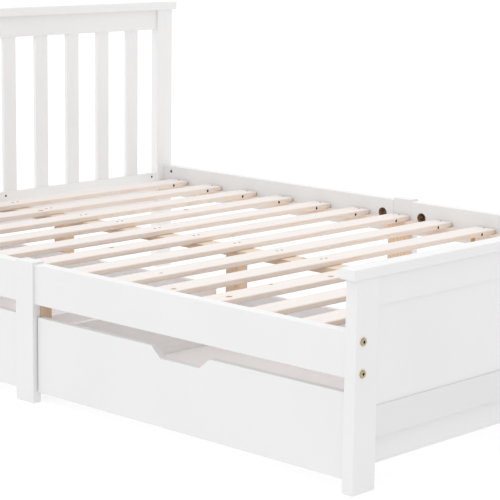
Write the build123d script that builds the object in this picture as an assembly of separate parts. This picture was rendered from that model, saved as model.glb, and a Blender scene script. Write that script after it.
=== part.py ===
from build123d import *
import math
import os

# A full-size slatted platform bed with a slatted headboard, a panelled footboard and two rolling
# drawers side by side under one long side. Millimetres, +Z up. The origin is on the floor at the
# middle of the footprint. The headboard is at +Y and the drawers open towards -X.

# Overall sizes
bed_length = 2020.0  # over the outer faces of the head and foot posts
bed_width = 1430.0  # over the outer faces of the posts
headboard_height = 850.0
footboard_height = 462.0

# Posts and caps
post_thickness = 30.0  # along the bed
head_post_width = 62.0
foot_post_width = 68.0
head_cap_thickness = 26.0
foot_cap_thickness = 22.0
cap_end_overhang = 16.0
cap_face_overhang = 5.0
foot_chamfer = 3.0

# Headboard
head_rail_thickness = 20.0
head_rail_recess = 7.0  # from the posts' face that looks at the mattress
head_top_rail_height = 61.0
head_bottom_rail_height = 115.0
head_bottom_rail_top = 308.0
spindle_count = 10
spindle_width = 46.0
spindle_thickness = 14.0
rail_hole_radius = 3.5  # blind holes in the bottom rail's inner face
rail_hole_depth = 12.0
rail_hole_places = (39.0, 635.0)  # on both sides of the middle
rail_hole_height = 12.0  # from the rail's top to the holes
spindle_tongue = 8.0  # how far a spindle's end goes into each rail

# Footboard
foot_rail_thickness = 22.0
foot_rail_recess = 1.5  # from the posts' outer face
foot_top_rail_height = 60.0
foot_lower_rail_bottom = 110.0
foot_lower_rail_height = 65.0
panel_thickness = 10.0
panel_recess = 3.0  # behind the rails' face
panel_groove = 8.0
apron_bottom = 52.0
apron_thickness = 10.0
apron_recess = 20.0  # from the posts' outer face

# Joinery
tenon_length = 16.0
tenon_thickness = 8.0
tenon_shoulder = 8.0  # a tenon is lower than its rail by this at the top and at the bottom
joint_clearance = 0.2
end_gap = 1.0  # spare depth beyond the end of a tenon, a bolt or a nut

# Side rails, middle legs and their blocks
side_rail_bottom = 237.0
side_rail_height = 94.0
side_rail_thickness = 30.0
side_rail_inset = 6.0  # from the posts' outer face
mid_leg_width = 62.0
mid_leg_rise = 5.0  # above the side rail
block_depth = 34.0
block_bottom = 150.0
leg_head_step = 12.0  # extra depth of the leg between the rails' ends

# Ledgers, centre beam and its legs
ledger_height = 28.0
ledger_thickness = 22.0
ledger_end_gap = 6.0
beam_width = 60.0  # a board laid flat under the slats
beam_height = 16.0
beam_end_gap = 12.0
centre_leg_across = 42.0
centre_leg_along = 38.0
centre_leg_spacing = 680.0

# Slats
slat_count = 13
slat_width = 65.0
slat_thickness = 14.0
slat_end_gap = 3.0
slat_drop = 39.0  # from the side rail's top to the slats' top
edge_hole_radius = 4.0  # blind hole in a slat's foot-side edge, near each end
edge_hole_depth = 8.0
edge_hole_inset = 62.0
edge_hole_height = 5.5  # from the slat's underside
end_slat_margin = 83.0  # from a post's inner face to the middle of the nearest slat

# Fasteners
bolt_radius = 3.0
bolt_head_radius = 8.5
bolt_head_height = 3.0
bolt_head_ease = 1.0
bolt_socket_flats = 6.0
bolt_socket_depth = 2.4
bolt_hole_clearance = 0.5
bolt_top_edge = 17.0  # from the rail's top edge to the upper bolt
bolt_bottom_edge = 12.0  # from the rail's bottom edge to the lower bolt
bolt_reach = 44.0  # into the rail's end
nut_radius = 5.0
nut_length = 18.0
nut_recess = 5.0  # from the rail's inner face
nut_setback = 36.0  # from the rail's end to the barrel nut
stud_setback = 43.0  # from the rail's top to the stud that joins the two halves
pocket_radius = 15.0
pocket_floor_gap = 1.2  # between a hex nut's corner and the pocket's floor
pocket_setback = 40.0  # from the rail's inner end to the pocket's middle
nut_from_pocket = 8.2  # from the pocket's middle to the nut's near face
hex_nut_flats = 10.0
hex_nut_thickness = 5.0
screw_radius = 1.8
screw_head_radius = 3.8
screw_head_height = 1.6
screw_length = 28.0
screw_clearance = 0.2
centre_screw_offset = 9.0
end_screw_inset = 9.0

# Drawers
front_thickness = 18.0
front_inset = 12.0  # from the posts' outer face
front_bottom = 26.0
front_top_gap = 31.0  # under the side rail
front_end_gap = 3.0
scoop_top_width = 180.0
scoop_bottom_width = 120.0
scoop_depth = 25.0
box_wall = 14.0
box_inset = 11.0  # from the end of the front to the outer face of a side
box_skirt = 12.0  # of the walls below the floor's underside
box_drop = 26.0  # from the front's top to the walls' top
box_back_gap = 8.0  # from the back of the box to the centre legs
floor_thickness = 9.0
floor_groove = 6.0

# Drawer wheels
wheel_radius = 20.0
wheel_width = 15.0
wheel_recess = 1.5
wheel_rim = 4.0
axle_radius = 3.0
axle_clearance = 0.05
wheel_side_gap = 1.0
wheel_top_gap = 6.0  # between a wheel and its fork's plate
fork_wall = 2.0
fork_plate = (46.0, 34.0)
fork_ear_width = 18.0
wheel_end_inset = 110.0
wheel_side_inset = 105.0

# Eased edges
paint_ease = 2.0
cap_ease = 3.0
slat_ease = 3.5
raw_ease = 1.0

# Derived places
half_length = bed_length / 2
half_width = bed_width / 2
post_inner_y = half_length - post_thickness
head_post_top = headboard_height - head_cap_thickness
foot_post_top = footboard_height - foot_cap_thickness
rail_top = side_rail_bottom + side_rail_height
rail_outer_x = half_width - side_rail_inset
rail_inner_x = rail_outer_x - side_rail_thickness
half_leg = mid_leg_width / 2
mid_leg_inner_x = rail_inner_x + leg_head_step
slat_top = rail_top - slat_drop
slat_bottom = slat_top - slat_thickness
ledger_inner_x = rail_inner_x - ledger_thickness
slat_end_x = rail_inner_x - slat_end_gap
first_slat_y = post_inner_y - end_slat_margin
slat_pitch = 2 * first_slat_y / (slat_count - 1)
bolt_x = (rail_outer_x + rail_inner_x) / 2
bolt_heights = (side_rail_bottom + bolt_bottom_edge, rail_top - bolt_top_edge)
stud_z = rail_top - stud_setback
pocket_y = half_leg + pocket_setback
front_top = side_rail_bottom - front_top_gap
floor_bottom = 2 * wheel_radius + wheel_top_gap + fork_wall
SIDES = {"drawer": -1, "far": 1}
ENDS = {"head": 1, "foot": -1}

os.makedirs("parts", exist_ok=True)


def save(shape, name):
    export_step(shape, f"parts/{name}.step")


def group(solids):
    """Several loose solids as one compound, for pieces that share a node."""
    return Compound(children=list(solids))


def block(x, y, z, ease=0.0):
    """A board between three pairs of coordinates, given in either order, with eased edges."""
    (x0, x1), (y0, y1), (z0, z1) = sorted(x), sorted(y), sorted(z)
    shape = Pos(x0, y0, z0) * Box(x1 - x0, y1 - y0, z1 - z0, align=(Align.MIN,) * 3)
    return fillet(shape.edges(), ease) if ease else shape


def post(x, y, z_top):
    """A painted post whose foot is chamfered all round."""
    shape = block(x, y, (0, z_top))
    shape = chamfer(shape.faces().sort_by(Axis.Z)[0].edges(), foot_chamfer)
    return fillet(shape.edges().filter_by(Axis.Z), paint_ease)


def rod(radius, length, x, y, z, direction):
    """A cylinder along X, Y or Z whose middle is at the given place."""
    turn = {"x": Rot(0, 90, 0), "y": Rot(90, 0, 0), "z": Rot(0, 0, 0)}[direction]
    return Pos(x, y, z) * turn * Cylinder(radius, length)


def tenoned_rail(half_span, y, z):
    """A rail between two posts, with a tenon at each end, and the two mortises that take them."""
    (y0, y1), (z0, z1) = sorted(y), sorted(z)
    middle = (y0 + y1) / 2
    body = block((-half_span, half_span), y, z)
    tenon_y = (middle - tenon_thickness / 2, middle + tenon_thickness / 2)
    tenon_z = (z0 + tenon_shoulder, z1 - tenon_shoulder)
    reach = half_span + tenon_length
    rail = body + block((-reach, reach), tenon_y, tenon_z)
    gap = joint_clearance
    hole_reach = reach + end_gap
    mortise = block(
        (-hole_reach, hole_reach),
        (tenon_y[0] - gap, tenon_y[1] + gap),
        (tenon_z[0] - gap, tenon_z[1] + gap),
    )
    return rail, mortise


def end_bolt_holes(end):
    """The clearance holes of the four side-rail bolts at one end of the bed."""
    radius = bolt_radius + bolt_hole_clearance
    length = post_thickness + bolt_reach + 2 * end_gap
    y = end * (half_length + end_gap - length / 2)
    return [rod(radius, length, s * bolt_x, y, z, "y") for s in SIDES.values() for z in bolt_heights]


def cap(end, half_span, top, thickness):
    """The flat cap over a pair of posts, standing proud all round."""
    y = (end * (post_inner_y - cap_face_overhang), end * (half_length + cap_face_overhang))
    span = half_span + cap_end_overhang
    return block((-span, span), y, (top - thickness, top), cap_ease)


# ---------------------------------------------------------------- headboard
def make_headboard():
    half_span = half_width - head_post_width
    front_y = post_inner_y + head_rail_recess
    rail_y = (front_y, front_y + head_rail_thickness)
    top_z = (head_post_top - head_top_rail_height, head_post_top)
    bottom_z = (head_bottom_rail_top - head_bottom_rail_height, head_bottom_rail_top)
    top_rail, top_mortise = tenoned_rail(half_span, rail_y, top_z)
    bottom_rail, bottom_mortise = tenoned_rail(half_span, rail_y, bottom_z)

    middle = front_y + head_rail_thickness / 2
    gap = (2 * half_span - spindle_count * spindle_width) / (spindle_count + 1)
    pitch = spindle_width + gap
    spindle_y = (middle - spindle_thickness / 2, middle + spindle_thickness / 2)
    spindle_z = (bottom_z[1] - spindle_tongue, top_z[0] + spindle_tongue)
    spindles = []
    for i in range(spindle_count):
        x = (i - (spindle_count - 1) / 2) * pitch
        sides = (x - spindle_width / 2, x + spindle_width / 2)
        spindle = block(sides, spindle_y, spindle_z)
        spindles.append(fillet(spindle.edges().filter_by(Axis.Z), paint_ease))
        c = joint_clearance
        slot = block(
            (sides[0] - c, sides[1] + c),
            (spindle_y[0] - c, spindle_y[1] + c),
            (spindle_z[0] - c, spindle_z[1] + c),
        )
        top_rail -= slot
        bottom_rail -= slot

    hole_y = front_y + rail_hole_depth / 2
    hole_z = bottom_z[1] - rail_hole_height
    for x in rail_hole_places:
        for side in SIDES.values():
            bottom_rail -= rod(rail_hole_radius, rail_hole_depth, side * x, hole_y, hole_z, "y")

    for name, side in SIDES.items():
        x = (side * half_width, side * half_span)
        shape = post(x, (post_inner_y, half_length), head_post_top)
        shape -= [top_mortise, bottom_mortise, *end_bolt_holes(1)]
        save(shape, f"head_post_{name}_side")
    save(cap(1, half_width, headboard_height, head_cap_thickness), "head_cap")
    save(top_rail, "head_top_rail")
    save(bottom_rail, "head_bottom_rail")
    save(group(spindles), "head_spindles")


# ---------------------------------------------------------------- footboard
def make_footboard():
    half_span = half_width - foot_post_width
    outer_y = -half_length + foot_rail_recess
    rail_y = (outer_y, outer_y + foot_rail_thickness)
    top_z = (foot_post_top - foot_top_rail_height, foot_post_top)
    lower_z = (foot_lower_rail_bottom, foot_lower_rail_bottom + foot_lower_rail_height)
    top_rail, top_mortise = tenoned_rail(half_span, rail_y, top_z)
    lower_rail, lower_mortise = tenoned_rail(half_span, rail_y, lower_z)

    c = joint_clearance
    panel_y0 = outer_y + panel_recess
    panel_x = half_span + panel_groove
    panel_z = (lower_z[1] - panel_groove, top_z[0] + panel_groove)
    panel = block((-panel_x, panel_x), (panel_y0, panel_y0 + panel_thickness), panel_z)
    groove = block(
        (-panel_x - c, panel_x + c),
        (panel_y0 - c, panel_y0 + panel_thickness + c),
        (panel_z[0] - c, panel_z[1] + c),
    )
    top_rail -= groove
    lower_rail -= groove

    apron_y0 = -half_length + apron_recess
    apron_y = (apron_y0, apron_y0 + apron_thickness)
    apron_z = (apron_bottom, foot_lower_rail_bottom)
    apron, apron_mortise = tenoned_rail(half_span, apron_y, apron_z)

    mortises = [top_mortise, lower_mortise, groove, apron_mortise]
    for name, side in SIDES.items():
        x = (side * half_width, side * half_span)
        shape = post(x, (-half_length, -post_inner_y), foot_post_top)
        shape -= [*mortises, *end_bolt_holes(-1)]
        save(shape, f"foot_post_{name}_side")
    save(cap(-1, half_width, footboard_height, foot_cap_thickness), "foot_cap")
    save(top_rail, "foot_top_rail")
    save(panel, "foot_panel")
    save(lower_rail, "foot_lower_rail")
    save(apron, "foot_apron")


# ---------------------------------------------------------------- sides
def stud_holes():
    """The clearance holes of the studs that hold the rail halves against the middle legs."""
    radius = bolt_radius + bolt_hole_clearance
    return [rod(radius, 2 * pocket_y, s * bolt_x, 0, stud_z, "y") for s in SIDES.values()]


def make_side_rail(side, end):
    x = (side * rail_outer_x, side * rail_inner_x)
    y = (end * half_leg, end * post_inner_y)
    rail = block(x, y, (side_rail_bottom, rail_top))
    long_edges = rail.edges().filter_by(Axis.Y)
    rail = fillet(long_edges, paint_ease)
    nut_hole_length = nut_recess + nut_length + end_gap
    nut_x = side * (rail_inner_x + nut_hole_length / 2)
    nut_y = end * (post_inner_y - nut_setback)
    for z in bolt_heights:
        rail -= rod(nut_radius + joint_clearance, nut_hole_length, nut_x, nut_y, z, "x")
    pocket_depth = side_rail_thickness / 2 + hex_nut_flats / math.sqrt(3) + pocket_floor_gap
    pocket_x = side * (rail_inner_x + pocket_depth / 2)
    rail -= rod(pocket_radius, pocket_depth, pocket_x, end * pocket_y, stud_z, "x")
    rail -= [*end_bolt_holes(end), *stud_holes()]
    return rail


def make_mid_leg(side):
    """A middle leg whose head, between the rails' ends, is as deep as the rails."""
    y = (-half_leg, half_leg)
    top = rail_top + mid_leg_rise
    leg = block((side * half_width, side * mid_leg_inner_x), y, (0, top))
    leg = chamfer(leg.faces().sort_by(Axis.Z)[0].edges(), foot_chamfer)
    leg += block((side * half_width, side * rail_inner_x), y, (slat_bottom, top))
    leg = fillet(leg.edges().filter_by(Axis.Z), paint_ease)
    return leg - [*stud_holes(), *screw_holes(*y)]


def make_mid_block(side):
    """The bare block behind a middle leg, which carries the middle slat's end."""
    y = (-half_leg, half_leg)
    x = (side * mid_leg_inner_x, side * (mid_leg_inner_x - block_depth))
    return block(x, y, (block_bottom, slat_bottom)) - screw_holes(*y)


def slat_centres():
    return [first_slat_y - i * slat_pitch for i in range(slat_count)]


def screw_places():
    """X and Y of every slat screw: one over each ledger and two over the centre beam."""
    end_x = ledger_inner_x + end_screw_inset
    xs = (-end_x, -centre_screw_offset, centre_screw_offset, end_x)
    return [(x, y) for y in slat_centres() for x in xs]


def screw_holes(y_low, y_high):
    """The holes of the slat screws whose Y lies between the two given."""
    radius = screw_radius + screw_clearance
    depth = screw_length + end_gap
    z = slat_top - depth / 2
    places = [(x, y) for x, y in screw_places() if y_low < y < y_high]
    return [rod(radius, depth, x, y, z, "z") for x, y in places]


def make_ledger(side, end):
    x = (side * rail_inner_x, side * ledger_inner_x)
    y = (end * half_leg, end * (post_inner_y - ledger_end_gap))
    strip = block(x, y, (slat_bottom - ledger_height, slat_bottom))
    return strip - screw_holes(*sorted(y))


def make_sides():
    for side_name, side in SIDES.items():
        for end_name, end in ENDS.items():
            save(make_side_rail(side, end), f"side_rail_{side_name}_side_{end_name}")
        save(make_mid_leg(side), f"mid_leg_{side_name}_side")
    save(group(make_mid_block(s) for s in SIDES.values()), "mid_leg_blocks")
    for side_name, side in SIDES.items():
        ledgers = [make_ledger(side, end) for end in ENDS.values()]
        save(group(ledgers), f"slat_ledgers_{side_name}_side")


# ---------------------------------------------------------------- slats and centre beam
def make_slat(y):
    sides = (y - slat_width / 2, y + slat_width / 2)
    slat = block((-slat_end_x, slat_end_x), sides, (slat_bottom, slat_top), slat_ease)
    head_depth = screw_head_height + screw_clearance
    z = slat_top - head_depth / 2
    radius = screw_head_radius + screw_clearance
    heads = [rod(radius, head_depth, x, sy, z, "z") for x, sy in screw_places() if sy == y]
    slat -= [*screw_holes(y - 1, y + 1), *heads]
    hole_y = sides[0] + edge_hole_depth / 2
    hole_z = slat_bottom + edge_hole_height
    for side in SIDES.values():
        x = side * (slat_end_x - edge_hole_inset)
        slat -= rod(edge_hole_radius, edge_hole_depth, x, hole_y, hole_z, "y")
    return slat


def make_platform():
    for i, y in enumerate(slat_centres(), start=1):
        save(make_slat(y), f"slat_{i:02d}")
    half_beam = post_inner_y - beam_end_gap
    beam_z = (slat_bottom - beam_height, slat_bottom)
    beam = block((-beam_width / 2, beam_width / 2), (-half_beam, half_beam), beam_z)
    save(beam - screw_holes(-half_beam, half_beam), "centre_beam")
    legs = []
    for y in (centre_leg_spacing, 0.0, -centre_leg_spacing):
        leg_y = (y - centre_leg_along / 2, y + centre_leg_along / 2)
        leg = block((-centre_leg_across / 2, centre_leg_across / 2), leg_y, (0, beam_z[0]))
        legs.append(fillet(leg.edges().filter_by(Axis.Z), raw_ease))
    save(group(legs), "centre_legs")


# ---------------------------------------------------------------- fasteners
def make_end_bolt(side, end, z):
    length = post_thickness + bolt_reach
    x = side * bolt_x
    shank = rod(bolt_radius, length, x, end * (half_length - length / 2), z, "y")
    head_y = end * (half_length + bolt_head_height / 2)
    head = rod(bolt_head_radius, bolt_head_height, x, head_y, z, "y")
    rim = head.edges().filter_by(GeomType.CIRCLE).sort_by(Axis.Y)
    head = fillet(rim[-1] if end > 0 else rim[0], bolt_head_ease)
    hexagon = RegularPolygon(bolt_socket_flats / 2, 6, major_radius=False)
    socket = extrude(hexagon, bolt_socket_depth)
    mouth_y = end * (half_length + bolt_head_height - bolt_socket_depth)
    socket = Pos(x, mouth_y, z) * Rot(-90 * end, 0, 0) * socket
    return shank + head - socket


def make_barrel_nut(side, end, z):
    x = side * (rail_inner_x + nut_recess + nut_length / 2)
    y = end * (post_inner_y - nut_setback)
    nut = rod(nut_radius, nut_length, x, y, z, "x")
    return nut - rod(bolt_radius + joint_clearance, 4 * nut_radius, side * bolt_x, y, z, "y")


def make_stud(side):
    length = 2 * (pocket_y - nut_from_pocket + end_gap)
    return rod(bolt_radius, length, side * bolt_x, 0, stud_z, "y")


def make_hex_nut(side, end):
    y = end * (pocket_y - nut_from_pocket - hex_nut_thickness / 2)
    hexagon = RegularPolygon(hex_nut_flats / 2, 6, major_radius=False)
    nut = extrude(hexagon, hex_nut_thickness / 2, both=True)
    nut = Pos(side * bolt_x, y, stud_z) * Rot(90, 0, 0) * nut
    radius = bolt_radius + joint_clearance
    return nut - rod(radius, 2 * hex_nut_thickness, side * bolt_x, y, stud_z, "y")


def make_slat_screw(x, y):
    head = rod(screw_head_radius, screw_head_height, x, y, slat_top - screw_head_height / 2, "z")
    shank = rod(screw_radius, screw_length, x, y, slat_top - screw_length / 2, "z")
    return head + shank


def make_fasteners():
    corners = [(s, e, z) for s in SIDES.values() for e in ENDS.values() for z in bolt_heights]
    bolts = [make_end_bolt(*corner) for corner in corners]
    studs = [make_stud(side) for side in SIDES.values()]
    save(group(bolts + studs), "rail_bolts")
    barrels = [make_barrel_nut(*corner) for corner in corners]
    nuts = [make_hex_nut(s, e) for s in SIDES.values() for e in ENDS.values()]
    save(group(barrels + nuts), "rail_nuts")
    save(group(make_slat_screw(x, y) for x, y in screw_places()), "slat_screws")


# ---------------------------------------------------------------- drawers
def make_scoop(middle_y, x0, x1, top):
    """The tapered finger notch in the top edge of a drawer front."""
    low = top - scoop_depth
    profile = Polyline(
        (middle_y - scoop_top_width / 2, top + 1.0),
        (middle_y - scoop_top_width / 2, top),
        (middle_y - scoop_bottom_width / 2, low),
        (middle_y + scoop_bottom_width / 2, low),
        (middle_y + scoop_top_width / 2, top),
        (middle_y + scoop_top_width / 2, top + 1.0),
        close=True,
    )
    face = make_face(Plane.YZ * profile)
    return Pos(x0 - 1.0, 0, 0) * extrude(face, x1 - x0 + 2.0, dir=(1, 0, 0))


def make_drawer(end_name, end):
    front_x = (-half_width + front_inset, -half_width + front_inset + front_thickness)
    front_y = (end * (half_leg + front_end_gap), end * (post_inner_y - front_end_gap))
    front_z = (front_bottom, front_top)
    middle = sum(front_y) / 2
    box_half = abs(front_y[1] - front_y[0]) / 2 - box_inset
    inner_half = box_half - box_wall
    back_x = -centre_leg_across / 2 - box_back_gap
    box_z = (floor_bottom - box_skirt, front_top - box_drop)
    c = joint_clearance

    floor_x = (front_x[1] - floor_groove, back_x - box_wall + floor_groove)
    floor_half = inner_half + floor_groove
    floor_z = (floor_bottom, floor_bottom + floor_thickness)
    floor = block(floor_x, (middle - floor_half, middle + floor_half), floor_z)
    groove = block(
        (floor_x[0] - c, floor_x[1] + c),
        (middle - floor_half - c, middle + floor_half + c),
        (floor_z[0] - c, floor_z[1] + c),
    )

    front = block(front_x, front_y, front_z, paint_ease)
    front -= [make_scoop(middle, *front_x, front_z[1]), groove]
    back_walls = (back_x - box_wall, back_x)
    back = block(back_walls, (middle - inner_half, middle + inner_half), box_z) - groove
    save(front, f"drawer_{end_name}_front")
    save(back, f"drawer_{end_name}_back")
    for side_name, side in ENDS.items():
        y = (middle + side * inner_half, middle + side * box_half)
        wall = block((front_x[1], back_x), y, box_z) - groove
        save(wall, f"drawer_{end_name}_{side_name}_end_wall")
    save(floor, f"drawer_{end_name}_floor")
    make_casters(end_name, middle, inner_half, front_x[1], back_x, floor_z[0])


def make_casters(end_name, middle, inner_half, front_x, back_x, plate_top):
    """Four fixed wheels under a drawer, each in a folded steel fork with its axle pin."""
    forks = []
    for row, x in (("front", front_x + wheel_end_inset), ("back", back_x - wheel_end_inset)):
        for side_name, side in ENDS.items():
            y = middle + side * (inner_half - wheel_side_inset)
            forks += make_fork(x, y, plate_top)
            save(make_wheel(x, y), f"drawer_{end_name}_wheel_{row}_{side_name}")
    save(group(forks), f"drawer_{end_name}_caster_forks")


def make_fork(x, y, plate_top):
    """The fork's plate and two ears as one solid, and the axle pin between the ears."""
    half_plate_x, half_plate_y = fork_plate[0] / 2, fork_plate[1] / 2
    plate_bottom = plate_top - fork_wall
    fork = block(
        (x - half_plate_x, x + half_plate_x),
        (y - half_plate_y, y + half_plate_y),
        (plate_bottom, plate_top),
    )
    ear_inner = wheel_width / 2 + wheel_side_gap
    ear_half = fork_ear_width / 2
    for side in (-1, 1):
        ear_y = (y + side * ear_inner, y + side * (ear_inner + fork_wall))
        fork += block((x - ear_half, x + ear_half), ear_y, (wheel_radius, plate_bottom))
        ear_middle = sum(ear_y) / 2
        fork += rod(ear_half, fork_wall, x, ear_middle, wheel_radius, "y")
    pin_length = 2 * (ear_inner + fork_wall + end_gap)
    fork -= rod(axle_radius + axle_clearance, pin_length, x, y, wheel_radius, "y")
    return [fork, rod(axle_radius, pin_length, x, y, wheel_radius, "y")]


def make_wheel(x, y):
    wheel = rod(wheel_radius, wheel_width, x, y, wheel_radius, "y")
    rims = wheel.edges().filter_by(GeomType.CIRCLE)
    wheel = fillet(rims, wheel_recess)
    for side in (-1, 1):
        dish_y = y + side * (wheel_width / 2)
        dish = rod(wheel_radius - wheel_rim, 2 * wheel_recess, x, dish_y, wheel_radius, "y")
        dish -= rod(2 * axle_radius, 2 * wheel_recess, x, dish_y, wheel_radius, "y")
        wheel -= dish
    return wheel - rod(axle_radius + axle_clearance, 2 * wheel_width, x, y, wheel_radius, "y")


make_headboard()
make_footboard()
make_sides()
make_platform()
make_fasteners()
for end_name, end in ENDS.items():
    make_drawer(end_name, end)
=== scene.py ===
import math

import bmesh
import bpy
from mathutils import Matrix, Vector


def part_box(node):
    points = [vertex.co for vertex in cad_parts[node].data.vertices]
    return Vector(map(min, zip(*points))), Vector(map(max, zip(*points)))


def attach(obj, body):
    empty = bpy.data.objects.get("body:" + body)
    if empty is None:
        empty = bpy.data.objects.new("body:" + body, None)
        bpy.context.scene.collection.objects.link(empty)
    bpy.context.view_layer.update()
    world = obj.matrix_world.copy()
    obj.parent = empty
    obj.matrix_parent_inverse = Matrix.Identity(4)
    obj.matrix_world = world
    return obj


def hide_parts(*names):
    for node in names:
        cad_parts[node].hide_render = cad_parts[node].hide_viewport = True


# A white full-size slatted bed with two rolling drawers, in metres, in the frame of the packed
# model: +Y towards the headboard, the drawers open towards -X.
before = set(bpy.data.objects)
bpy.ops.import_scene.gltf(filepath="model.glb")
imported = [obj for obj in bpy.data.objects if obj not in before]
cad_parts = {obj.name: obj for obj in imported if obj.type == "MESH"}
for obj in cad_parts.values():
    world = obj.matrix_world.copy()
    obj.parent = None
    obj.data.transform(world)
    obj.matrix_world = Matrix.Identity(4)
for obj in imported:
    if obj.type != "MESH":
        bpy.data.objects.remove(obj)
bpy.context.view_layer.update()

# Camera
camera_place = (-3.4635, -3.3118, 1.1590)
camera_yaw = math.radians(46.688)  # from +Y towards +X
camera_pitch = math.radians(10.474)  # below the horizon
camera_roll = math.radians(-0.771)
camera_lens = 135.14  # millimetres, on a 36 mm sensor

# Light
horizon_level = 0.97
zenith_level = 1.42
foot_side_share = 0.78  # of the light that comes from straight beyond the footboard
floor_radius = 40.0
floor_glow = 0.75

# Paint levels, as shares of the common paint's. The headboard's makes up for its dimmer light, as
# painted light; the footboard's lower rail gets a darker copy of the same paint, as painted shade.
head_level = 1.10
low_rail_shade_level = 0.93

# Bores whose bare wood shows, darkened as painted shade, placed by their distances from the edges of
# their boards
bore_margin = 0.0004  # from a bore's wall or mouth to where its bare wood starts
pocket_from_end, pocket_rise, pocket_radius, pocket_mask_depth = 0.040, 0.051, 0.015, 0.0265
# The nut masks lie 10 mm nearer the posts than the barrel-nut bores, so that they cover only the
# bores' walls on the posts' side.
nut_mask_from_end, nut_mask_rises, nut_mask_radius = 0.026, (0.012, 0.077), 0.0052
head_hole_from_middle, head_hole_from_end, head_hole_drop = 0.039, 0.034, 0.012
head_hole_radius, head_mask_depth = 0.0035, 0.015
edge_hole_from_end, edge_hole_rise, edge_hole_radius, edge_mask_depth = 0.062, 0.0055, 0.004, 0.009


# ---------------------------------------------------------------- node helpers
def new_material(name):
    material = bpy.data.materials.new(name)
    material.use_nodes = True
    tree = material.node_tree
    return material, tree, tree.nodes["Principled BSDF"]


def plug(tree, socket, value):
    """Links value to the socket if it is a socket, and else sets it."""
    if isinstance(value, bpy.types.NodeSocket):
        tree.links.new(value, socket)
    else:
        socket.default_value = value


def add(tree, kind, inputs=None, **settings):
    """A new node with its settings, whose inputs are set or linked by name."""
    new = tree.nodes.new(kind)
    for key, value in settings.items():
        setattr(new, key, value)
    for key, value in (inputs or {}).items():
        plug(tree, new.inputs[key], value)
    return new


def calc(tree, operation, *values):
    """A Math node's result."""
    new = tree.nodes.new("ShaderNodeMath")
    new.operation = operation
    for socket, value in zip(new.inputs, values):
        plug(tree, socket, value)
    return new.outputs[0]


def times(tree, a, b):
    return calc(tree, "MULTIPLY", a, b)


def plus(tree, a, b):
    return calc(tree, "ADD", a, b)


def minus(tree, a, b):
    return calc(tree, "SUBTRACT", a, b)


def combine(tree, x, y, z):
    new = tree.nodes.new("ShaderNodeCombineXYZ")
    for socket, value in zip(new.inputs, (x, y, z)):
        plug(tree, socket, value)
    return new.outputs[0]


def noise(tree, vector, scale, detail=2.0, roughness=0.5):
    inputs = {"Vector": vector, "Scale": scale, "Detail": detail, "Roughness": roughness}
    return add(tree, "ShaderNodeTexNoise", inputs).outputs["Fac"]


def ramp(tree, factor, stops):
    """A colour ramp; stops are (position, colour)."""
    new = add(tree, "ShaderNodeValToRGB", {"Fac": factor})
    elements = new.color_ramp.elements
    while len(elements) < len(stops):
        elements.new(0.5)
    for element, (place, colour) in zip(elements, stops):
        element.position = place
        element.color = (*colour, 1.0)
    return new.outputs["Color"]


def remap(tree, value, low, high, new_low, new_high):
    inputs = {0: value, 1: low, 2: high, 3: new_low, 4: new_high}
    return add(tree, "ShaderNodeMapRange", inputs, clamp=True).outputs[0]


def mix(tree, factor, a, b, blend="MIX"):
    new = tree.nodes.new("ShaderNodeMix")
    new.data_type = "RGBA"
    new.blend_type = blend
    plug(tree, new.inputs[0], factor)
    plug(tree, new.inputs[6], a)
    plug(tree, new.inputs[7], b)
    return new.outputs[2]


def bump(tree, height, strength, distance, normal=None):
    inputs = {"Height": height, "Strength": strength, "Distance": distance}
    if normal is not None:
        inputs["Normal"] = normal
    return add(tree, "ShaderNodeBump", inputs).outputs["Normal"]


def object_axes(tree):
    """Object coordinates as X, Y and Z, in metres."""
    place = add(tree, "ShaderNodeTexCoord").outputs["Object"]
    return add(tree, "ShaderNodeSeparateXYZ", {0: place}).outputs


def grain_space(tree, along):
    """Object coordinates as (along the grain, across, through), in metres."""
    axes = object_axes(tree)
    order = {"x": (0, 1, 2), "y": (1, 0, 2), "z": (2, 0, 1)}[along]
    return [axes[i] for i in order]


def near_axis(tree, a, b, centre, radius):
    """1 where the point (a, b) lies within a bore round the centre or its margin, and else 0."""
    da = minus(tree, a, centre[0])
    db = minus(tree, b, centre[1])
    squared = plus(tree, times(tree, da, da), times(tree, db, db))
    return calc(tree, "LESS_THAN", squared, (radius + bore_margin) ** 2)


def between(tree, value, low, high):
    """1 where the value lies between low and high, and else 0."""
    above = calc(tree, "GREATER_THAN", value, low)
    return times(tree, above, calc(tree, "LESS_THAN", value, high))


def rail_bores(tree):
    """1 inside the stud pockets and by the barrel-nut holes of the side rails, and else 0."""
    low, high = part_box("side_rail_far_side_head")
    x, y, z = object_axes(tree)
    x, y = (calc(tree, "ABSOLUTE", value) for value in (x, y))
    middle = (low.y + pocket_from_end, low.z + pocket_rise)
    inside = near_axis(tree, y, z, middle, pocket_radius)
    for rise in nut_mask_rises:
        middle = (high.y - nut_mask_from_end, low.z + rise)
        bore = near_axis(tree, y, z, middle, nut_mask_radius)
        inside = calc(tree, "MAXIMUM", inside, bore)
    return times(tree, inside, between(tree, x, low.x + bore_margin, low.x + pocket_mask_depth))


def head_rail_bores(tree):
    """1 inside the blind holes of the headboard's bottom rail, and else 0."""
    low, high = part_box("head_bottom_rail")
    x, y, z = object_axes(tree)
    x = calc(tree, "ABSOLUTE", x)
    inside = 0.0
    for hole_x in (head_hole_from_middle, high.x - head_hole_from_end):
        bore = near_axis(tree, x, z, (hole_x, high.z - head_hole_drop), head_hole_radius)
        inside = calc(tree, "MAXIMUM", inside, bore)
    return times(tree, inside, between(tree, y, low.y + bore_margin, low.y + head_mask_depth))


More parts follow.
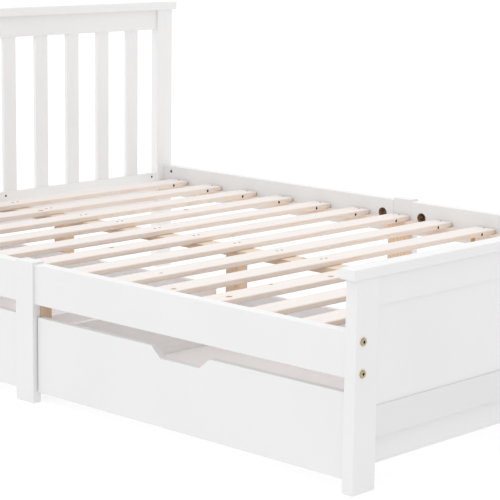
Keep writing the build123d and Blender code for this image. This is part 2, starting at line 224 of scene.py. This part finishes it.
def slat_edge_bores(tree):
    """1 inside the blind holes in the slats' foot-side edges, and else 0."""
    low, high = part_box("slat_01")
    pitch = high.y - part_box("slat_02")[1].y
    x, y, z = object_axes(tree)
    x = calc(tree, "ABSOLUTE", x)
    middle = (high.x - edge_hole_from_end, low.z + edge_hole_rise)
    inside = near_axis(tree, x, z, middle, edge_hole_radius)
    slats = calc(tree, "DIVIDE", minus(tree, y, low.y), pitch)
    depth = times(tree, minus(tree, slats, calc(tree, "ROUND", slats)), pitch)
    return times(tree, inside, between(tree, depth, bore_margin, edge_mask_depth))


# ---------------------------------------------------------------- materials
paint_tones = ((0.775, 0.775, 0.779), (0.803, 0.803, 0.801))
worn_paint = (0.72, 0.715, 0.70, 1.0)
# Bare wood inside the bores in the paint, far darker than the pine: bare wood and painted shade
bore_wood_shade_tones = ((0.46, 0.30, 0.19), (0.33, 0.20, 0.12))


def white_paint(name, along, bores=None, level=1.0):
    """Satin white paint over planed wood: faint grain, brush lines and orange peel."""
    material, tree, shader = new_material(name)
    u, v, w = grain_space(tree, along)
    place = combine(tree, u, v, w)
    cloud = noise(tree, place, 3.0, 3.0)
    grain = noise(tree, combine(tree, times(tree, u, 0.06), v, w), 260.0, 3.0, 0.6)
    brush = noise(tree, combine(tree, times(tree, u, 0.02), v, w), 900.0, 2.0)
    peel = noise(tree, place, 700.0, 2.0)
    low, high = [[level * channel for channel in tone] for tone in paint_tones]
    tint = ramp(tree, cloud, [(0.3, low), (0.7, high)])
    colour = mix(tree, remap(tree, grain, 0.35, 0.7, 0.0, 0.05), tint, worn_paint)
    # Inside the bores the paint gives way to bare wood drawn much darker than the pine: bare wood and
    # painted shade.
    if bores:
        bore_wood_shade = ramp(tree, grain, list(zip((0.3, 0.7), bore_wood_shade_tones)))
        colour = mix(tree, bores(tree), colour, bore_wood_shade)
    plug(tree, shader.inputs["Base Color"], colour)
    plug(tree, shader.inputs["Roughness"], remap(tree, cloud, 0.2, 0.8, 0.36, 0.48))
    shader.inputs["Specular IOR Level"].default_value = 0.4
    fibres = bump(tree, plus(tree, grain, times(tree, brush, 0.5)), 0.25, 0.0003)
    plug(tree, shader.inputs["Normal"], bump(tree, peel, 0.12, 0.0002, fibres))
    return material


# Each colour of bare pine, and what its channels gain at full paleness: painted light, for the boards
# that stand in full light
pine_colours = {
    "early": ((0.78, 0.66, 0.54), (0.04, 0.13, 0.23)),
    "middle": ((0.76, 0.62, 0.48), (0.05, 0.15, 0.265)),
    "late": ((0.66, 0.48, 0.34), (0.11, 0.21, 0.31)),
    "warm": ((0.72, 0.55, 0.42), (0.08, 0.18, 0.26)),
    "dark": ((0.58, 0.40, 0.29), (0.10, 0.15, 0.19)),
}
knot_rings = [(0.0, (0.42, 0.24, 0.12)), (0.7, (0.50, 0.30, 0.16)), (0.92, (0.16, 0.08, 0.04)),
              (1.0, (0.60, 0.42, 0.26))]
# The tint that darkens and warms the boards' sides: painted shade
side_shade_tint = (1.0, 0.89, 0.79, 1.0)
# Near black inside the slats' edge holes: painted shade
slat_hole_shade_colour = (0.075, 0.045, 0.028, 1.0)


def pine_colour(kind, pale):
    base, gain = pine_colours[kind]
    return tuple(b + g * pale for b, g in zip(base, gain))


def board_seed(tree, board_pitch, board_axis):
    """Three numbers from 0 to 1, the same all over one board."""
    along = object_axes(tree)["XYZ".index(board_axis)]
    board = calc(tree, "ROUND", calc(tree, "DIVIDE", along, board_pitch))
    white = add(tree, "ShaderNodeTexWhiteNoise", {"W": board}, noise_dimensions="1D")
    return add(tree, "ShaderNodeSeparateColor", {0: white.outputs["Color"]}).outputs


def knots(tree, u, v, w, pale):
    """1 where a long cell of the board has a knot, and the distance to it in knot radii."""
    cell_u, cell_v = 5.5, 16.0  # cells per metre along and across
    cells = combine(tree, times(tree, u, cell_u), times(tree, v, cell_v), 0.0)
    voronoi = add(tree, "ShaderNodeTexVoronoi", {"Vector": cells, "Scale": 1.0, "Randomness": 0.9},
                  voronoi_dimensions="2D")
    middle = add(tree, "ShaderNodeSeparateXYZ", {0: voronoi.outputs["Position"]}).outputs
    du = minus(tree, u, calc(tree, "DIVIDE", middle[0], cell_u))
    dv = minus(tree, v, calc(tree, "DIVIDE", middle[1], cell_v))
    chance = add(tree, "ShaderNodeSeparateColor", {0: voronoi.outputs["Color"]}).outputs
    there = calc(tree, "GREATER_THAN", chance[0], 0.62 + 0.22 * pale)
    squared = plus(tree, times(tree, times(tree, du, du), 0.55), times(tree, dv, dv))
    wobble = noise(tree, combine(tree, u, v, w), 90.0, 2.0)
    wobble = times(tree, minus(tree, wobble, 0.5), 0.003)
    distance = plus(tree, calc(tree, "SQRT", squared), wobble)
    radius = remap(tree, chance[1], 0.0, 1.0, 0.003, 0.009 - 0.003 * pale)
    return there, calc(tree, "DIVIDE", distance, radius)


def growth_rings(tree, u, v, w, seed, there, near):
    """The phase of the growth rings round a pith below the board, pulled aside by knots."""
    fall_off = calc(tree, "POWER", 2.718, times(tree, -0.16, times(tree, near, near)))
    pull = times(tree, there, fall_off)
    pith_w = plus(tree, w, remap(tree, seed[2], 0.0, 1.0, -0.33, -0.20))
    pith_v = plus(tree, v, times(tree, minus(tree, seed[1], 0.5), 0.05))
    stretched = combine(tree, times(tree, u, 1.3), times(tree, v, 5.0), seed[0])
    drift = noise(tree, stretched, 1.0, 2.0)
    squared = plus(tree, times(tree, pith_v, pith_v), times(tree, pith_w, pith_w))
    ring = plus(tree, calc(tree, "SQRT", squared), times(tree, drift, 0.055))
    ring = plus(tree, ring, times(tree, pull, 0.012))
    rings_per_metre = 210.0
    return calc(tree, "FRACT", times(tree, ring, rings_per_metre))


def bare_pine(name, along, board_pitch, board_axis, pale=0.0, bores=None):
    """Planed pine with growth rings, fibres and knots, different on each board. The faces that
    look up are paler and the sides darker and warmer, as painted light and shade."""
    material, tree, shader = new_material(name)
    u, v, w = grain_space(tree, along)
    seed = board_seed(tree, board_pitch, board_axis)
    u = plus(tree, u, times(tree, seed[0], 9.0))
    shifted_v = plus(tree, v, times(tree, seed[1], 5.0))
    there, near = knots(tree, u, shifted_v, w, pale)
    phase = growth_rings(tree, u, v, w, seed, there, near)
    fibre = noise(tree, combine(tree, times(tree, u, 0.03), shifted_v, w), 700.0, 3.0, 0.6)
    tone = noise(tree, combine(tree, u, shifted_v, w), 4.0, 2.0)

    early, middle, late, warm, dark = (pine_colour(kind, pale) for kind in pine_colours)
    colour = ramp(tree, phase, [(0.0, early), (0.55, middle), (0.88, late), (1.0, early)])
    colour = mix(tree, remap(tree, tone, 0.3, 0.7, 0.0, 0.22), colour, (*warm, 1.0))
    colour = mix(tree, remap(tree, fibre, 0.4, 0.75, 0.0, 0.16), colour, (*dark, 1.0))
    in_knot = times(tree, there, remap(tree, near, 0.75, 1.6, 1.0, 0.0))
    colour = mix(tree, in_knot, colour, ramp(tree, near, knot_rings))
    # The sides are tinted darker and warmer than the faces that look up: painted shade, with the pale
    # tops as painted light.
    normal = add(tree, "ShaderNodeTexCoord").outputs["Normal"]
    up = add(tree, "ShaderNodeSeparateXYZ", {0: normal}).outputs[2]
    side = remap(tree, calc(tree, "ABSOLUTE", up), 0.4, 0.9, 0.75, 0.0)
    colour = mix(tree, side, colour, side_shade_tint, "MULTIPLY")
    # The walls of the slats' edge holes are near black: painted shade.
    if bores:
        colour = mix(tree, bores(tree), colour, slat_hole_shade_colour)
    plug(tree, shader.inputs["Base Color"], colour)
    plug(tree, shader.inputs["Roughness"], remap(tree, fibre, 0.2, 0.8, 0.55, 0.78))
    shader.inputs["Specular IOR Level"].default_value = 0.25
    height = plus(tree, fibre, times(tree, phase, 0.35))
    plug(tree, shader.inputs["Normal"], bump(tree, height, 0.35, 0.0004))
    return material


board_tones = ((0.945, 0.930, 0.935), (0.905, 0.885, 0.890))
board_cloud = (0.92, 0.90, 0.90, 1.0)


def drawer_board(name, along):
    """Sealed pale board with a faint straight grain."""
    material, tree, shader = new_material(name)
    u, v, w = grain_space(tree, along)
    grain = noise(tree, combine(tree, times(tree, u, 0.05), v, w), 180.0, 4.0, 0.6)
    cloud = noise(tree, combine(tree, u, v, w), 2.5, 2.0)
    colour = ramp(tree, grain, list(zip((0.3, 0.7), board_tones)))
    colour = mix(tree, remap(tree, cloud, 0.3, 0.7, 0.0, 0.3), colour, board_cloud)
    plug(tree, shader.inputs["Base Color"], colour)
    plug(tree, shader.inputs["Roughness"], remap(tree, grain, 0.2, 0.8, 0.45, 0.6))
    plug(tree, shader.inputs["Normal"], bump(tree, grain, 0.2, 0.0002))
    return material


# Three hues for each plated metal, and for the near-black painted shade inside the recesses
yellow_zinc = ((0.42, 0.32, 0.16), (0.50, 0.41, 0.24), (0.38, 0.34, 0.26))
grey_zinc = ((0.07, 0.065, 0.06), (0.09, 0.085, 0.08), (0.06, 0.06, 0.065))
recess_shade_hues = ((0.020, 0.018, 0.015), (0.030, 0.027, 0.022), (0.015, 0.015, 0.015))


def zinc_steel(name, hues=yellow_zinc):
    """Passivated zinc with a faint change of hue and fine scratches."""
    material, tree, shader = new_material(name)
    place = add(tree, "ShaderNodeTexCoord").outputs["Object"]
    hue = noise(tree, place, 180.0, 3.0)
    colour = ramp(tree, hue, list(zip((0.3, 0.5, 0.7), hues)))
    plug(tree, shader.inputs["Base Color"], colour)
    shader.inputs["Metallic"].default_value = 1.0
    plug(tree, shader.inputs["Roughness"], remap(tree, hue, 0.3, 0.7, 0.22, 0.42))
    scratch = noise(tree, place, 2500.0, 2.0)
    plug(tree, shader.inputs["Normal"], bump(tree, scratch, 0.15, 0.0001))
    return material


def wheel_plastic(name, dark=0.030, light=0.060):
    """Moulded nylon or rubber with a faint moulding texture."""
    material, tree, shader = new_material(name)
    place = add(tree, "ShaderNodeTexCoord").outputs["Object"]
    cloud = noise(tree, place, 60.0, 3.0)
    stops = [(0.3, (dark, dark, dark * 1.05)), (0.7, (light, light, light * 1.03))]
    plug(tree, shader.inputs["Base Color"], ramp(tree, cloud, stops))
    plug(tree, shader.inputs["Roughness"], remap(tree, cloud, 0.3, 0.7, 0.40, 0.60))
    plug(tree, shader.inputs["Normal"], bump(tree, noise(tree, place, 1500.0), 0.2, 0.0001))
    return material


def make_materials():
    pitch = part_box("slat_01")[1].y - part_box("slat_02")[1].y
    paint = {a: white_paint(f"white_paint_{a}", a) for a in "xyz"}
    paint["side_rail"] = white_paint("white_paint_side_rails", "y", rail_bores)
    paint["head_rail"] = white_paint("white_paint_head_rail", "x", head_rail_bores, head_level)
    head_paint = {a: white_paint(f"white_paint_head_{a}", a, None, head_level) for a in "xz"}
    # The lower rail's darker copy of the white paint is painted shade.
    low_rail_shaded_paint = white_paint("white_paint_low_rail_shaded", "x", None, low_rail_shade_level)
    board = {a: drawer_board(f"drawer_board_{a}", a) for a in "xyz"}
    # Paleness per board: the slats are palest as painted light on their lit tops, the ledgers less,
    # and the beam and upright darker as painted shade under the slats. Paler boards also get fewer
    # and smaller knots.
    pine = {
        "slat": bare_pine("pine_slats", "x", pitch, "Y", 1.0, slat_edge_bores),
        "ledger": bare_pine("pine_ledgers", "y", 0.5, "X", 0.7),
        "beam": bare_pine("pine_beam", "y", 0.5, "X", 0.2),
        "leg": bare_pine("pine_upright", "z", 0.5, "Y"),
    }
    zinc, plastic = zinc_steel("zinc_steel"), wheel_plastic("wheel_plastic")
    along_x = ("cap", "rail", "apron")
    for name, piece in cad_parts.items():
        if "caster_forks" in name or name in ("rail_bolts", "rail_nuts", "slat_screws"):
            choice = zinc
        elif "_wheel_" in name:
            choice = plastic
        elif name.startswith("slat_ledgers"):
            choice = pine["ledger"]
        elif name == "centre_beam":
            choice = pine["beam"]
        elif name.startswith("slat_"):
            choice = pine["slat"]
        elif name in ("centre_legs", "mid_leg_blocks"):
            choice = pine["leg"]
        elif name.startswith("drawer_") and name.endswith("_front"):
            choice = paint["y"]
        elif name.startswith("drawer_"):
            choice = board["x" if "end_wall" in name or "floor" in name else "y"]
        elif name.startswith("side_rail"):
            choice = paint["side_rail"]
        elif name == "head_bottom_rail":
            choice = paint["head_rail"]
        elif name == "foot_lower_rail":
            choice = low_rail_shaded_paint
        elif name.startswith("head_"):
            choice = head_paint["x" if name.endswith(along_x) else "z"]
        elif name.endswith(along_x) or name == "foot_panel":
            choice = paint["x"]
        else:
            choice = paint["z"]
        piece.data.materials.clear()
        piece.data.materials.append(choice)


# ---------------------------------------------------------------- fasteners and wheels
def islands(node):
    """The boxes of the loose pieces of a CAD node, as (low corner, high corner)."""
    shape = bmesh.new()
    shape.from_mesh(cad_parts[node].data)
    bmesh.ops.remove_doubles(shape, verts=shape.verts, dist=1e-6)
    boxes, seen = [], set()
    for start in shape.verts:
        if start in seen:
            continue
        seen.add(start)
        found, open_ends = [start], [start]
        while open_ends:
            for edge in open_ends.pop().link_edges:
                for vert in edge.verts:
                    if vert not in seen:
                        seen.add(vert)
                        found.append(vert)
                        open_ends.append(vert)
        low = Vector([min(vert.co[i] for vert in found) for i in range(3)])
        high = Vector([max(vert.co[i] for vert in found) for i in range(3)])
        boxes.append((low, high))
    shape.free()
    return boxes


def circle(radius, count):
    turns = [2 * math.pi * i / count for i in range(count)]
    return [(radius * math.cos(t), radius * math.sin(t)) for t in turns]


def cross(reach, half_width):
    """The outline of a cross recess."""
    quarter = [(reach, -half_width), (reach, half_width), (half_width, half_width)]
    points = []
    for x, y in ((1, 0), (0, 1), (-1, 0), (0, -1)):
        points += [(a * x - b * y, a * y + b * x) for a, b in quarter]
    return points


def ring(shape, points, z):
    return [shape.verts.new((x, y, z)) for x, y in points]


def bridge(shape, lower, upper):
    """Faces between two rings with as many points."""
    for i in range(len(lower)):
        j = (i + 1) % len(lower)
        shape.faces.new((lower[i], lower[j], upper[j], upper[i]))


def fill_between(shape, outer, inner):
    """Flat faces between an outer and an inner outline."""
    edges = []
    for loop in (outer, inner):
        for i, vert in enumerate(loop):
            pair = (vert, loop[(i + 1) % len(loop)])
            edges.append(shape.edges.get(pair) or shape.edges.new(pair))
    bmesh.ops.triangle_fill(shape, use_beauty=True, use_dissolve=False, edges=edges)


def turned(shape, profile, count, recess=None):
    """A closed turned piece along +Z from (radius, z) pairs, bottom first. recess is the outline,
    depth and taper of the pit in its top."""
    rings = [ring(shape, circle(radius, count), z) for radius, z in profile]
    shape.faces.new(list(reversed(rings[0])))
    for lower, upper in zip(rings, rings[1:]):
        bridge(shape, lower, upper)
    if recess is None:
        shape.faces.new(rings[-1])
        return
    outline, depth, taper = recess
    mouth = ring(shape, outline, profile[-1][1])
    pit = ring(shape, [(x * taper, y * taper) for x, y in outline], profile[-1][1] - depth)
    fill_between(shape, rings[-1], mouth)
    known = set(shape.faces)
    bridge(shape, list(reversed(mouth)), list(reversed(pit)))
    shape.faces.new(pit)
    # The pit's faces take the second material; in the fasteners that is the near-black painted shade
    # of the recesses.
    for face in set(shape.faces) - known:
        face.material_index = 1


def threaded(radius, depth, z0, z1, pitch):
    """The profile of a thread, as ridges one pitch apart."""
    count = max(1, round((z1 - z0) / pitch))
    step = (z1 - z0) / count
    points = []
    for i in range(count):
        points += [(radius - depth, z0 + i * step), (radius, z0 + (i + 0.5) * step)]
    return [*points, (radius - depth, z1)]


def hexagon(across_flats):
    return circle(across_flats / math.sqrt(3), 6)


def one_piece(name, parts, materials, body, node_slot, *nodes):
    """One object from several meshes placed by matrices, which stands for the CAD nodes."""
    whole = bmesh.new()
    for build, matrix in parts:
        single = bmesh.new()
        build(single)
        bmesh.ops.recalc_face_normals(single, faces=single.faces)
        bmesh.ops.transform(single, matrix=matrix, verts=single.verts)
        mesh = bpy.data.meshes.new("single")
        single.to_mesh(mesh)
        single.free()
        whole.from_mesh(mesh)
        bpy.data.meshes.remove(mesh)
    mesh = bpy.data.meshes.new(name)
    whole.to_mesh(mesh)
    whole.free()
    for material in materials:
        mesh.materials.append(material)
    mesh.shade_smooth()
    piece = bpy.data.objects.new(name, mesh)
    bpy.context.scene.collection.objects.link(piece)
    smooth_by_angle(mesh)
    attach(piece, body)
    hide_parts(*nodes)
    return piece


def smooth_by_angle(mesh, limit=math.radians(32)):
    """Marks the edges that turn by more than the limit as sharp."""
    shape = bmesh.new()
    shape.from_mesh(mesh)
    for edge in shape.edges:
        edge.smooth = len(edge.link_faces) == 2 and edge.calc_face_angle(0.0) < limit
    shape.to_mesh(mesh)
    shape.free()


def upright(place, direction):
    """The matrix that puts a piece made along +Z at the place, along the direction."""
    turn = Vector(direction).to_track_quat("Z", "Y").to_matrix().to_4x4()
    return Matrix.Translation(place) @ turn


def make_slat_screws(materials):
    """Countersunk screws with a cross recess, a dished head and a threaded shank."""
    point_radius, point_length = 0.0003, 0.004
    thread_pitch, thread_depth = 0.0016, 0.0004
    head_depth, neck_length = 0.0016, 0.006
    rim_low, rim_high, rim_chamfer = 0.0005, 0.0002, 0.0003
    recess_depth, recess_taper = 0.0012, 0.62
    parts = []
    for low, high in islands("slat_screws"):
        def build(shape, head=(high.x - low.x) / 2, length=high.z - low.z):
            core = head * 0.47
            neck_top = length - head_depth
            thread_top = neck_top - neck_length
            thread = threaded(core, thread_depth, point_length, thread_top, thread_pitch)
            profile = [(point_radius, 0.0), *thread, (core, neck_top), (head, length - rim_low),
                       (head, length - rim_high), (head - rim_chamfer, length)]
            recess = (cross(head * 0.62, head * 0.15), recess_depth, recess_taper)
            turned(shape, profile, 20, recess)

        middle = (low + high) / 2
        parts.append((build, upright((middle.x, middle.y, low.z), (0, 0, 1))))
    one_piece("slat_screw_set", parts, materials, "bed_frame", "zinc_steel", "slat_screws")


def make_rail_bolts(materials):
    """Button-headed bolts with a hexagon socket, and the plain threaded studs."""
    thread_pitch, thread_depth, thread_length, run_out = 0.001, 0.0003, 0.03, 0.0005
    shank_radius, head_height, head_edge = 0.003, 0.003, 0.0003
    dome = [(0.0, 0.0016), (0.0004, 0.0007), (0.0013, 0.0001), (0.0022, 0.0)]  # in from the rim, down
    socket_flats, socket_depth, socket_taper = 0.006, 0.0023, 0.96
    parts = []
    for low, high in islands("rail_bolts"):
        middle = (low + high) / 2
        side = 1 if middle.y > 0 else -1
        stud = abs(middle.y) < 0.01  # the studs lie across the bed's middle

        def build(shape, stud=stud, length=high.y - low.y, radius=(high.x - low.x) / 2):
            if stud:
                turned(shape, threaded(radius, thread_depth, 0.0, length, thread_pitch), 16)
                return
            under = length - head_height
            thread = threaded(shank_radius, thread_depth, 0.0, thread_length, thread_pitch)
            profile = [*thread, (shank_radius, thread_length + run_out), (shank_radius, under),
                       (radius - head_edge, under), (radius, under + head_edge)]
            profile += [(radius - inset, length - drop) for inset, drop in dome]
            turned(shape, profile, 36, (hexagon(socket_flats), socket_depth, socket_taper))

        start = low.y if side > 0 else high.y
        parts.append((build, upright((middle.x, start, middle.z), (0, side, 0))))
    one_piece("rail_bolt_set", parts, materials, "bed_frame", "zinc_steel", "rail_bolts")


def barrel_nut(shape, radius, length):
    """A barrel nut along +Z with a driver slot in its top."""
    chamfer = 0.0006
    slot_half_length, slot_half_width, slot_depth, slot_taper = 0.0036, 0.0006, 0.0015, 0.98
    profile = [(radius - chamfer, 0.0), (radius, chamfer), (radius, length - chamfer),
               (radius - chamfer, length)]
    slot = [(slot_half_length, -slot_half_width), (slot_half_length, slot_half_width),
            (-slot_half_length, slot_half_width), (-slot_half_length, -slot_half_width)]
    turned(shape, profile, 28, (slot, slot_depth, slot_taper))


def hexagon_nut(shape, thickness):
    """A chamfered hexagon nut along +Z with its bore."""
    flats, bore_radius = 0.010, 0.0032
    chamfer_share, chamfer_height = 0.93, 0.0005
    face = hexagon(flats * chamfer_share)
    bottom, top = ring(shape, face, 0.0), ring(shape, face, thickness)
    low = ring(shape, hexagon(flats), chamfer_height)
    high = ring(shape, hexagon(flats), thickness - chamfer_height)
    bore_bottom, bore_top = (ring(shape, circle(bore_radius, 18), z) for z in (0.0, thickness))
    bridge(shape, bottom, low)
    bridge(shape, low, high)
    bridge(shape, high, top)
    bridge(shape, list(reversed(bore_bottom)), list(reversed(bore_top)))
    fill_between(shape, bottom, bore_bottom)
    fill_between(shape, top, bore_top)


def make_rail_nuts(materials):
    """Barrel nuts near the posts, and hexagon nuts on the studs at the bed's middle."""
    parts = []
    for low, high in islands("rail_nuts"):
        middle, size = (low + high) / 2, high - low
        side = 1 if middle.x > 0 else -1
        if abs(middle.y) > 0.5:
            def build(shape, radius=size.z / 2, length=size.x):
                barrel_nut(shape, radius, length)

            start = (high.x if side > 0 else low.x, middle.y, middle.z)
            parts.append((build, upright(start, (-side, 0, 0))))
        else:
            def build(shape, thickness=size.y):
                hexagon_nut(shape, thickness)

            parts.append((build, upright((middle.x, low.y, middle.z), (0, 1, 0))))
    one_piece("rail_nut_set", parts, materials, "bed_frame", "zinc_steel", "rail_nuts")


def wheel_profile(radius, width, rim):
    """Half a wheel's closed outline as (radius, z) pairs: hub, web, rim and grooved tyre."""
    bore, hub, hub_chamfer = 0.00305, 0.0065, 0.0004
    web, groove = width * 0.3, 0.0006
    half = [(bore, 0.0), (hub - hub_chamfer, 0.0), (hub, hub_chamfer), (hub, web), (rim, web),
            (rim, 0.0006), (rim + 0.0005, 0.0002), (radius - 0.0020, 0.0003),
            (radius - 0.0006, 0.0012), (radius, 0.0028)]
    side_groove, middle_groove = width * 0.36, width * 0.5 - 0.0004
    for z in (side_groove, middle_groove):
        half += [(radius, z - 0.0008), (radius - groove, z - 0.0004), (radius - groove, z)]
        if z == side_groove:
            half.append((radius, z + 0.0004))
    return half + [(r, width - z) for r, z in reversed(half)]


def wheel_shape(shape, radius, width):
    """A wheel along +Z: a grooved tyre on a ribbed web and hub with a bore."""
    hub, rim, rib_count = 0.0065, radius * 0.73, 6
    rib_overlap, rib_thickness, rib_inset = 0.0012, 0.0016, 0.0026
    profile = wheel_profile(radius, width, rim)
    rings = [ring(shape, circle(r, 48), z) for r, z in profile]
    for i, lower in enumerate(rings):
        known = len(shape.faces)
        bridge(shape, lower, rings[(i + 1) % len(rings)])
        shape.faces.ensure_lookup_table()
        if min(profile[i][0], profile[(i + 1) % len(profile)][0]) > rim + 0.0003:
            for face in shape.faces[known:]:
                face.material_index = 1
    middle = Vector(((hub + rim) / 2 - 0.0002, 0.0, width / 2))
    size = (rim - hub + rib_overlap, rib_thickness, width - rib_inset, 1.0)
    for i in range(rib_count):
        turn = Matrix.Rotation(2 * math.pi * i / rib_count, 4, "Z")
        matrix = turn @ Matrix.Translation(middle) @ Matrix.Diagonal(size)
        bmesh.ops.create_cube(shape, size=1.0, matrix=matrix)


def make_wheels(materials):
    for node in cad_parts:
        if "_wheel_" not in node:
            continue
        low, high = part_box(node)
        middle = (low + high) / 2

        def build(shape, radius=(high.x - low.x) / 2, width=high.y - low.y):
            wheel_shape(shape, radius, width)

        matrix = upright((middle.x, low.y, middle.z), (0, 1, 0))
        one_piece(f"{node}_look", [(build, matrix)], materials, node, "wheel_plastic", node)


# ---------------------------------------------------------------- stage
def make_floor():
    mesh = bpy.data.meshes.new("floor")
    shape = bmesh.new()
    bmesh.ops.create_circle(shape, cap_ends=True, segments=96, radius=floor_radius)
    shape.to_mesh(mesh)
    shape.free()
    floor = bpy.data.objects.new("floor", mesh)
    bpy.context.scene.collection.objects.link(floor)
    material, tree, shader = new_material("pale_floor")
    place = add(tree, "ShaderNodeTexCoord").outputs["Object"]
    tint = ramp(tree, noise(tree, place, 0.7), [(0.3, (0.29, 0.29, 0.29)), (0.7, (0.31, 0.31, 0.31))])
    plug(tree, shader.inputs["Base Color"], tint)
    shader.inputs["Roughness"].default_value = 0.9
    shader.inputs["Specular IOR Level"].default_value = 0.0
    shader.inputs["Emission Color"].default_value = (1.0, 1.0, 1.0, 1.0)
    shader.inputs["Emission Strength"].default_value = floor_glow
    mesh.materials.append(material)


def make_lights():
    world = bpy.data.worlds.new("studio")
    world.use_nodes = True
    tree = world.node_tree
    direction = add(tree, "ShaderNodeTexCoord").outputs["Generated"]
    split = add(tree, "ShaderNodeSeparateXYZ", {0: direction}).outputs
    rise = remap(tree, split[2], 0.0, 1.0, horizon_level, zenith_level)
    share = remap(tree, split[1], -0.85, 0.1, foot_side_share, 1.0)
    level = calc(tree, "MULTIPLY", rise, share)
    plug(tree, tree.nodes["Background"].inputs["Color"], combine(tree, level, level, level))
    bpy.context.scene.world = world
    bpy.context.scene.view_settings.view_transform = "Standard"


def make_camera():
    data = bpy.data.cameras.new("camera")
    data.sensor_width = 36.0
    data.lens = camera_lens
    data.clip_end = 200.0
    camera = bpy.data.objects.new("camera", data)
    turn = Matrix.Rotation(-camera_yaw, 3, "Z") @ Matrix.Rotation(math.pi / 2 - camera_pitch, 3, "X")
    turn = turn @ Matrix.Rotation(-camera_roll, 3, "Z")
    camera.matrix_world = Matrix.Translation(camera_place) @ turn.to_4x4()
    bpy.context.scene.collection.objects.link(camera)
    bpy.context.scene.camera = camera


make_materials()
# The recesses in the fasteners' heads get near-black hues: painted shade.
recess_shade = zinc_steel("recess_painted_shade", recess_shade_hues)
make_slat_screws([zinc_steel("screw_steel", grey_zinc), recess_shade])
make_rail_bolts([zinc_steel("bolt_steel"), recess_shade])
make_rail_nuts([zinc_steel("nut_steel"), recess_shade])
make_wheels([wheel_plastic("wheel_hub", 0.10, 0.14), wheel_plastic("wheel_tyre")])
make_floor()
make_lights()
make_camera()
